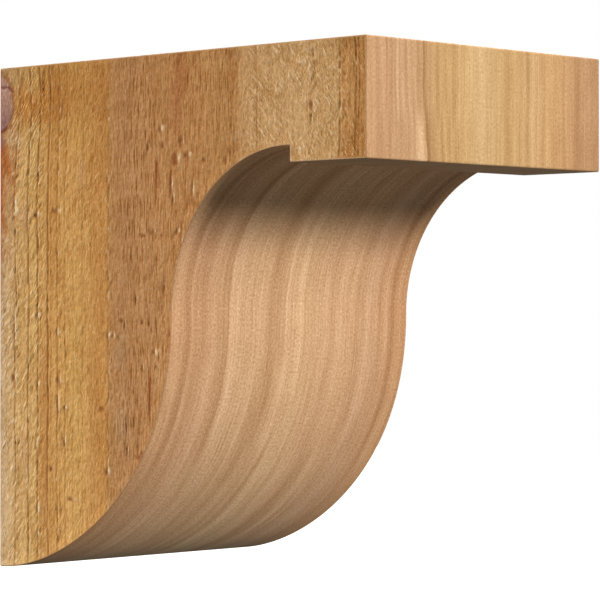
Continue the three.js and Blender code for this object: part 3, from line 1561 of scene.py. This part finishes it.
SIDE_LOOKS = {
    # Golden heartwood towards the wall with hard torn lines, browner wood in the middle, paler in front
    Face.NEAR_SIDE: SideLook(
        step=(0.66, 1.2),
        seed=11,
        colours=(
            (0, "#AE7A48"), (6, "#B0804E"), (12, "#B4824F"), (18.5, "#B68553"), (21.5, "#BA9060"),
            (31, "#BB9162"), (54, "#BE9466"), (78, "#BA9062"), (87, "#B78C5E"), (95, "#B48758"),
            (103, "#AE7D4D"), (112, "#AF7F4E"), (125, "#B2804F"), (145, "#AF7C4C"), (160, "#B07E4F"),
            (178, "#AF7D50"), (195, "#AB7B4F"), (205.6, "#AD7C4C"), (207.4, "#B68248"), (213, "#B88249"),
            (227, "#BF8D51"), (242, "#C59355"), (257, "#BE8A4D"), (273, "#C79B60"), (287, "#C2965F"),
            (296, "#C29A6A"), (305, "#BE9A72"),
        ),
        climb=(
            (0, 1.12), (50, 1.11), (110, 1.09), (170, 1.05), (230, 1.01), (262, 0.97), (270, 0.88),
            (305, 0.85),
        ),
        climb_start=206.5,
        lines=(
            GrainLine(260.4, 1.7, 0.6), GrainLine(269.8, 1.4, 1.1), GrainLine(278.6, 1.5, 0.8),
            GrainLine(290.6, 0.9, 1.2), GrainLine(251.9, 0.8, 0.8), GrainLine(244.7, 0.6, 0.5),
            GrainLine(237.5, 0.35), GrainLine(229.0, 0.35), GrainLine(221.0, 0.25),
            GrainLine(206.8, 0.5, 0.7), GrainLine(102.5, 0.3, 0.4), GrainLine(83.8, 0.6),
            GrainLine(42.4, 0.3, 1.1), GrainLine(20.6, 1.2, 0.8), GrainLine(8.6, 1.1, 0.6),
            GrainLine(6.2, 0.7, 0.4), GrainLine(2.6, 0.3),
        ),
        felts=(
            Felt(262, 305, 40, 0.16), Felt(207, 262, 28, 0.08), Felt(122, 206, 0, 0.06),
            Felt(92, 122, 8, 0.14), Felt(22, 92, -44, 0.18), Felt(0, 22, -28, 0.2),
        ),
        dashes=(
            DashBand(165, 22, 0.8), DashBand(132, 14, 0.9), DashBand(108, 9, 0.9), DashBand(188, 14, 0.6),
            DashBand(9, 8, 0.6), DashBand(228, 22, 0.45), DashBand(266, 20, 0.3),
        ),
        tears=(
            Tear(162.5, 261, 1.5, 2.0, 0.9), Tear(160.5, 251.5, 1.3, 1.6, 0.1),
            Tear(173, 251, 1.0, 2.0, 0.1), Tear(149.5, 243, 2.2, 3.5, 0.6),
            Tear(140.5, 245, 2.2, 1.8, 0.5), Tear(145, 253, 1.4, 3.2, 0.3), Tear(153.5, 228, 1.1, 5, 0.5),
            Tear(151.5, 221, 0.8, 3.5), Tear(135.5, 225, 0.9, 5, 1.0), Tear(126, 242, 1.6, 1.4, 0.2),
            Tear(108.5, 241, 1.8, 2.0, 0.3), Tear(169.8, 201.6, 2.2, 1.5, 0.3),
            Tear(148.5, 201.5, 1.6, 1.8, 0.8), Tear(144.5, 193, 0.9, 6, 0.8),
            Tear(161, 199.6, 1.2, 0.9, 0.1), Tear(176.7, 199.6, 2.4, 0.8, 0.1),
            Tear(167.5, 131.5, 1.7, 1.9, 1.1), Tear(177.6, 122.8, 0.9, 2.6, 0.4),
            Tear(165.4, 123.5, 1.5, 1.2, 0.4), Tear(195.3, 150, 1.6, 1.0, 0.1),
            Tear(192.6, 147, 0.7, 2.6, 0.3), Tear(197.5, 140, 1.1, 1.5, 0.3),
            Tear(202.5, 141, 0.9, 1.6, 1.2), Tear(177.6, 149.3, 1.3, 1.6, 0.3),
            Tear(171.8, 148.3, 1.0, 1.8, 0.4), Tear(154, 142, 1.1, 1.5, 0.1),
            Tear(190.8, 87, 0.7, 3.5, 0.4), Tear(190.4, 74, 0.9, 3.4, 0.3),
            Tear(180.5, 70.5, 2.8, 0.9, 0.1), Tear(177, 73, 1.2, 1.4, 0.2), Tear(150, 181, 0.8, 3.0, 0.4),
            Tear(159, 171, 0.7, 4.0, 0.3), Tear(183, 163, 0.7, 3.0, 0.3), Tear(272, 214, 2.2, 1.6),
            Tear(270.5, 153.5, 1.3, 1.6, 1.8), Tear(270.5, 36.5, 1.3, 2.2, 2.2),
            Tear(270.5, 21, 1.1, 1.6, 2.0), Tear(292, 218, 1.4, 6, 1.6), Tear(292, 115, 1.6, 2.6, 1.6),
            Tear(291.6, 145, 0.8, 11, 1.6), Tear(270.2, 112, 1.1, 1.4, 1.4),
            Tear(252.6, 143, 1.0, 2.4, 1.6), Tear(245.5, 98, 1.2, 1.3, 1.8), Tear(207.5, 141, 1.3, 2.2),
            Tear(208, 61, 1.5, 2.0), Tear(212.5, 98, 2.2, 1.5, 0.1), Tear(240, 43.5, 3.0, 1.0, 0.6),
            Tear(258, 61, 1.8, 1.5, 0.3), Tear(251, 114, 1.8, 2.4, 0.6), Tear(252, 99, 1.2, 6, 0.8),
            Tear(246, 78, 1.2, 3.4, 0.8), Tear(254, 216, 2.6, 1.6, 0.7), Tear(41.5, 269, 1.6, 2.4, 0.5),
            Tear(40.5, 297, 1.2, 2.2, 0.3),
        ),
        checks=(
            Check(165.8, 243, 212, 1.15, 0.6), Check(170.8, 117, 84, 1.15, 0.5),
            Check(153.5, 238, 218, 0.8, 0.2),
        ),
        patches=(
            Patch(309, 238, 17, 44, "#A8581E", 0.95), Patch(264, 75, 4.5, 85, "#B06F33", 0.5),
            Patch(214, 120, 7, 110, "#B57A38", 0.35), Patch(236, 90, 7, 80, "#C69A55", 0.4),
            Patch(256, 225, 5, 50, "#B27636", 0.3), Patch(146, 290, 6, 16, "#9C5B30", 0.6),
            Patch(149, 270, 4, 13, "#A05F36", 0.5), Patch(180.5, 70.5, 3.2, 1.6, "#9A5226", 0.6),
            Patch(155, 139, 2, 6, "#B5713F", 0.6), Patch(196, 131, 6, 9, "#AC8763", 0.35),
            Patch(195, 88, 7, 10, "#AC8763", 0.35), Patch(170.8, 119, 1.6, 5, "#A8643C", 0.6),
            Patch(150.5, 243, 2, 4, "#94481F", 0.6), Patch(103, 285, 6, 14, "#A06530", 0.35),
            Patch(283, 281, 14, 11, "#B8742E", 0.6), Patch(238, 288, 30, 13, "#A4672A", 0.35),
            Patch(286, 301, 5, 4, "#BC8E58", 0.7), Patch(262, 278, 18, 9, "#B06D27", 0.45),
            Patch(293, 261, 9, 4.5, "#C8A072", 0.85, 12), Patch(304, 261, 4, 5, "#8F5F50", 0.8),
            Patch(305, 196, 2.4, 44, "#B0703F", 0.7), Patch(296, 218, 4.5, 22, "#BE9662", 0.6, -12),
            Patch(255, 284, 10, 16, "#A2672A", 0.5), Patch(230, 238, 4, 10, "#B98860", 0.35),
            Patch(214, 285, 6, 20, "#A66C30", 0.35), Patch(283, 214, 4, 9, "#C2946B", 0.45),
            Patch(281, 66, 5, 20, "#BF9468", 0.4), Patch(212.5, 98, 2.6, 1.8, "#9C5F22", 0.55),
        ),
        knot=Knot(
            depth=305.5, height=283, wide=13.2, tall=18.5,
            cracks=((11.5, 0.32, 0.8), (-17.0, -0.18, 0.5)),
        ),
    ),
    # The side that isn't seen: the same saw and the same timber, with fewer torn places
    Face.FAR_SIDE: SideLook(
        step=(1.6, 3.2),
        seed=71,
        colours=(
            (0, "#B07E4E"), (30, "#BC8E5A"), (38, "#B08252"), (90, "#B88856"), (130, "#AC7C4C"),
            (185, "#B68852"), (230, "#BE905A"), (270, "#B0804F"), (305, "#B88E5E"),
        ),
        climb=((0, 1.04), (305, 0.95)),
        climb_start=150,
        lines=(
            GrainLine(36, 0.9, 0.4), GrainLine(88, 0.7, 0.2), GrainLine(131, 0.9, 0.5),
            GrainLine(180, 0.8, 0.2), GrainLine(222, 0.7, 0.4), GrainLine(263, 1.0, 0.4),
        ),
        felts=(Felt(0, 88, -24, 0.16), Felt(88, 180, 0, 0.08), Felt(180, 305, 30, 0.14)),
        dashes=(DashBand(60, 30, 0.5), DashBand(135, 34, 0.8), DashBand(215, 40, 0.6)),
        tears=(
            Tear(131, 238, 1.8, 4.0), Tear(134, 96, 2.0, 3.2), Tear(222, 180, 2.0, 5.0),
            Tear(264, 60, 1.8, 4.0), Tear(37, 268, 1.8, 3.0), Tear(178, 150, 1.8, 3.2),
        ),
        patches=(Patch(140, 270, 14, 40, "#A0693C", 0.4), Patch(240, 120, 12, 60, "#C09660", 0.4)),
    ),
}

FINISHES = (
    # Rough sawn: dull and furry, over the colours of the two looks
    RoughSawn(name="red_cedar_rough_sawn_near_side", seed=3.0),
    RoughSawn(name="red_cedar_rough_sawn_far_side", seed=41.0),
    # Planed: a yellow-gold middle between pinker edges
    SmoothCut(
        name="red_cedar_planed_front",
        width=BLOCK.width / MM,
        colours=(
            (0, "#C09166"), (30, "#BD8F66"), (46, "#BF9366"), (58, "#C19561"), (80, "#C79D68"),
            (95, "#CAA270"), (118, "#C39964"), (140, "#C79B69"), (165, "#C19361"), (183, "#BB8C61"),
            (203, "#B6885F"),
        ),
        first_streaks=(
            ((0, 0.95), (1.3, 1.09), (3, 1.02), (5.7, 1.1), (9, 0.92), (11, 1.07), (13.7, 1.18),
             (16, 0.86), (18, 1.04), (20, 0.87), (21.7, 1.08), (23.2, 0.94), (25.2, 1.24), (27.2, 0.98),
             (29.2, 1.19), (31.7, 0.94), (34, 1.2), (36.3, 0.97), (38.8, 1.15), (41.7, 0.86), (44.5, 1.0),
             (46.8, 0.66), (49.5, 0.96), (55, 1.05), (58, 0.86), (62, 1.04), (64.5, 0.92), (68, 1.04),
             (72.8, 0.84), (77, 1.04)),
            ((77, 1.04), (80, 0.98), (86.3, 1.1), (91, 1.03), (96.7, 1.1), (103, 1.0), (107.7, 0.98),
             (111, 1.05), (118, 0.88), (120.5, 0.91), (125, 1.07), (131.5, 0.93), (133.7, 1.06),
             (137, 0.79), (141.7, 1.11), (144.5, 0.99), (147.4, 1.06), (150, 0.94), (156.7, 1.11),
             (160.7, 1.05), (166.5, 1.08), (169, 0.92), (171, 1.04), (177, 1.02), (181, 0.9),
             (183.3, 0.86), (186, 1.03), (192, 1.03), (195.2, 0.93), (203, 0.97)),
        ),
        last_streaks=(
            ((0, 0.95), (1.3, 1.07), (5, 1.08), (10, 0.92), (15, 1.07), (17.3, 0.93), (22, 1.08),
             (26, 1.05), (29.5, 1.02), (33.7, 1.14), (35.6, 1.12), (38, 1.32), (42.3, 1.42), (44.8, 1.12),
             (46.8, 0.58), (49.5, 0.84), (57.5, 1.02), (61, 0.84), (64.5, 1.08), (67.8, 0.88), (72, 1.02),
             (75.8, 0.9), (77, 1.0)),
            ((77, 1.0), (85, 0.96), (90, 1.0), (96, 1.1), (103.3, 1.06), (110, 1.03), (113.5, 1.06),
             (117.4, 0.86), (120.7, 0.89), (123.4, 1.09), (130, 0.94), (134, 1.1), (137, 0.82),
             (142.2, 1.13), (145.2, 0.99), (147.7, 1.07), (150, 0.92), (157, 1.13), (160, 1.0),
             (166.5, 1.06), (169.2, 0.91), (171.5, 1.05), (177, 1.03), (180.5, 0.88), (183.5, 0.89),
             (191.5, 1.03), (197.8, 0.92), (203, 0.98)),
        ),
        change=(34, 54),
        haze=0.8,
        strand=0.55,
        roughness=0.62,
        seed=83.0,
        course=((0, 0.0), (27, 0.1), (50, 0.5), (67, 0.85)),
        beside=((24, 0.0), (44, 1.0), (54, 1.0), (74, 0.0)),
    ),
    # Sanded along the S-curve: one colour with a sharp dark and light border near the near side
    SmoothCut(
        name="red_cedar_sanded_curve",
        width=BLOCK.width / MM,
        colours=(
            (0, "#C39267"), (30, "#C7976E"), (60, "#CB9E73"), (95, "#CFA176"), (110, "#D2A679"),
            (130, "#D0A177"), (150, "#CE9F74"), (170, "#CB9C74"), (190, "#CD9B71"), (203, "#CE9C6F"),
        ),
        first_streaks=(
            ((0, 0.98), (4.5, 1.14), (9, 1.03), (13, 0.75), (17, 1.05), (20.5, 0.9), (24, 0.93),
             (34, 1.08), (39, 0.98), (42.5, 0.84), (46.2, 0.84), (47.4, 1.14), (51, 1.23), (56, 1.08),
             (60, 1.04), (65, 1.03), (71, 1.06), (76, 0.97), (83.3, 0.79), (89, 0.93), (92, 1.0),
             (95, 1.17), (99, 1.04), (102, 1.0)),
            ((102, 1.0), (103.5, 1.1), (108, 1.12), (110.7, 0.94), (114, 1.03), (117, 0.94),
             (119.5, 1.04), (122, 0.94), (127, 1.02), (130.5, 1.03), (132.7, 0.91), (136.5, 0.95),
             (140, 1.09), (144, 1.07), (149.7, 0.98), (152, 1.03), (157.5, 0.91), (161, 0.95),
             (166.8, 1.11), (173, 0.98), (178.7, 0.9), (184, 0.98), (189.4, 0.7), (194, 0.92),
             (197.5, 0.94), (200.7, 0.8), (203, 0.85)),
        ),
        last_streaks=(
            ((0, 0.85), (7, 0.97), (12.9, 0.88), (18, 1.0), (24.5, 0.94), (34, 1.09), (39, 1.1),
             (43, 1.03), (46.5, 0.95), (52, 1.07), (60, 1.03), (66, 0.91), (71, 1.0), (79.7, 0.85),
             (84, 1.06), (91.5, 0.92), (95, 1.0), (99.3, 0.81), (102, 1.0)),
            ((102, 1.0), (104, 1.1), (107.5, 1.16), (110.3, 1.0), (113, 1.06), (118.5, 0.94), (122, 1.11),
             (127, 1.08), (131, 1.02), (137.4, 0.82), (143, 0.91), (149.8, 1.16), (154.3, 0.98),
             (157, 1.07), (160.8, 0.94), (168, 1.03), (174, 1.06), (181, 0.98), (184, 1.0), (189, 0.87),
             (193, 0.98), (198, 0.95), (203, 0.94)),
        ),
        change=(205, 265),
        haze=1.15,
        strand=0.75,
        roughness=0.7,
        seed=103.0,
    ),
    # Sawn across the fibres: browner, with rings that curve round a heart, and a back with straight ones.
    # # The end grain under the nosing is painted paler than the top's, as light from below that it
    # doesn't get
    SawnEnd(
        name="red_cedar_end_grain_top", colour="#A57C55", ring=4.5, tooth_pitch=2.6, seed=131.0,
        heart=(-80, -60),
    ),
    # Painted light: paler end grain under the nosing, standing in for light from below, which the floor
    # doesn't give
    SawnEnd(
        name="red_cedar_end_grain_under_nosing", colour="#C49C74", ring=3.4, tooth_pitch=2.6, seed=149.0,
    ),
    SawnEnd(name="red_cedar_rough_sawn_back", colour="#A0774C", ring=3.6, tooth_pitch=3.8, seed=167.0),
)


# The studio


@dataclass(frozen=True)
class Lamp:
    """A far, soft light. Its bearing runs from straight ahead of the nosing towards the near side."""

    name: str
    bearing: float
    elevation: float
    softness: float
    strength: float

    def make(self) -> None:
        """Adds the light, turned so that it shines from its bearing and elevation."""
        data = bpy.data.lights.new(self.name, "SUN")
        data.angle = math.radians(self.softness)
        data.energy = self.strength * math.pi
        lamp = bpy.data.objects.new(self.name, data)
        turn, rise = math.radians(self.bearing), math.radians(self.elevation)
        level = math.cos(rise)
        source = Vector((-math.sin(turn) * level, -math.cos(turn) * level, math.sin(rise)))
        lamp.rotation_euler = source.to_track_quat("Z", "Y").to_euler()
        bpy.context.scene.collection.objects.link(lamp)


@dataclass(frozen=True)
class Studio:
    """A pale floor far below a hung bracket, soft lights and the camera at the photo's angle."""

    lamps: tuple[Lamp, ...] = (
        Lamp("key_from_the_front", 0, 14, 12, 1.0),
        Lamp("low_light_along_the_near_side", 150, 16, 8, 1.55),
        Lamp("overhead", 0, 90, 40, 0.9),
        Lamp("fill_on_the_far_side", -125, 12, 30, 0.9),
    )
    ambient: float = 0.162
    ambient_colour: tuple[float, float, float] = (0.86, 1.0, 1.04)
    backdrop: float = 1.0
    floor_height: float = -2.5
    floor_reach: float = 40.0
    floor_colour: str = "#E4E2DE"
    camera_place: tuple[float, float, float] = (-1.22846, -1.33780, -0.00089)
    camera_bearing: float = 46.1434
    camera_rise: float = 0.3760
    lens: float = 170.316
    sensor: float = 36.0
    far_clip: float = 200.0

    def make_world(self) -> None:
        """Makes an even surround: white to the camera, and a dim fill for the object."""
        world = bpy.data.worlds.new("surround")
        sheet = NodeSheet(world)
        seen = sheet.add("LightPath", {}, out="Is Camera Ray")
        level = sheet.add("MapRange", {0: seen, 3: self.ambient, 4: self.backdrop})
        tint = sheet.add("Mix", {0: seen, 6: (*self.ambient_colour, 1), 7: (1, 1, 1, 1)}, out=2,
                         data_type="RGBA")
        glow = sheet.add("Background", {"Color": tint, "Strength": level})
        sheet.add("OutputWorld", {"Surface": glow})
        bpy.context.scene.world = world

    def make_floor(self) -> bpy.types.Object:
        """Makes the floor, which lights nothing, so that undersides keep their shade.

        Returns:
            The floor.
        """
        reach, level = self.floor_reach, self.floor_height
        mesh = bpy.data.meshes.new("floor")
        corners = [(x * reach, y * reach, level) for x, y in ((-1, -1), (1, -1), (1, 1), (-1, 1))]
        mesh.from_pydata(corners, [], [(0, 1, 2, 3)])
        sheet = NodeSheet(bpy.data.materials.new("matt_white_paint"))
        shader = sheet.add("BsdfDiffuse", {"Color": linear(self.floor_colour)})
        sheet.add("OutputMaterial", {"Surface": shader})
        mesh.materials.append(sheet.owner)
        floor = bpy.data.objects.new("floor", mesh)
        floor.visible_diffuse = False
        floor.visible_glossy = False
        bpy.context.scene.collection.objects.link(floor)
        return floor

    def make_camera(self) -> None:
        """Makes the camera, level across the picture, looking at the bracket from its near side."""
        data = bpy.data.cameras.new("camera")
        data.lens = self.lens
        data.sensor_width = self.sensor
        data.clip_end = self.far_clip
        camera = bpy.data.objects.new("camera", data)
        camera.location = self.camera_place
        tilt, bearing = math.radians(90 + self.camera_rise), math.radians(-self.camera_bearing)
        camera.rotation_euler = (tilt, 0, bearing)
        bpy.context.scene.collection.objects.link(camera)
        bpy.context.scene.camera = camera

    def make(self) -> None:
        """Makes the camera, world, lights and floor, shown without a film curve."""
        self.make_camera()
        self.make_world()
        for lamp in self.lamps:
            lamp.make()
        self.make_floor()
        bpy.context.scene.view_settings.view_transform = "Standard"


def main() -> None:
    """Sets up the studio, builds the bracket and reports it."""
    logging.basicConfig(level=logging.INFO, format="%(name)s: %(message)s")
    Studio().make()
    block = CorbelBlock(Outline(BLOCK)).make()
    triangles = sum(len(face.vertices) - 2 for face in block.data.polygons)
    log.info("%s: %d triangles, %d finishes", block.name, triangles, len(block.data.materials))


if __name__ == "__main__":
    main()
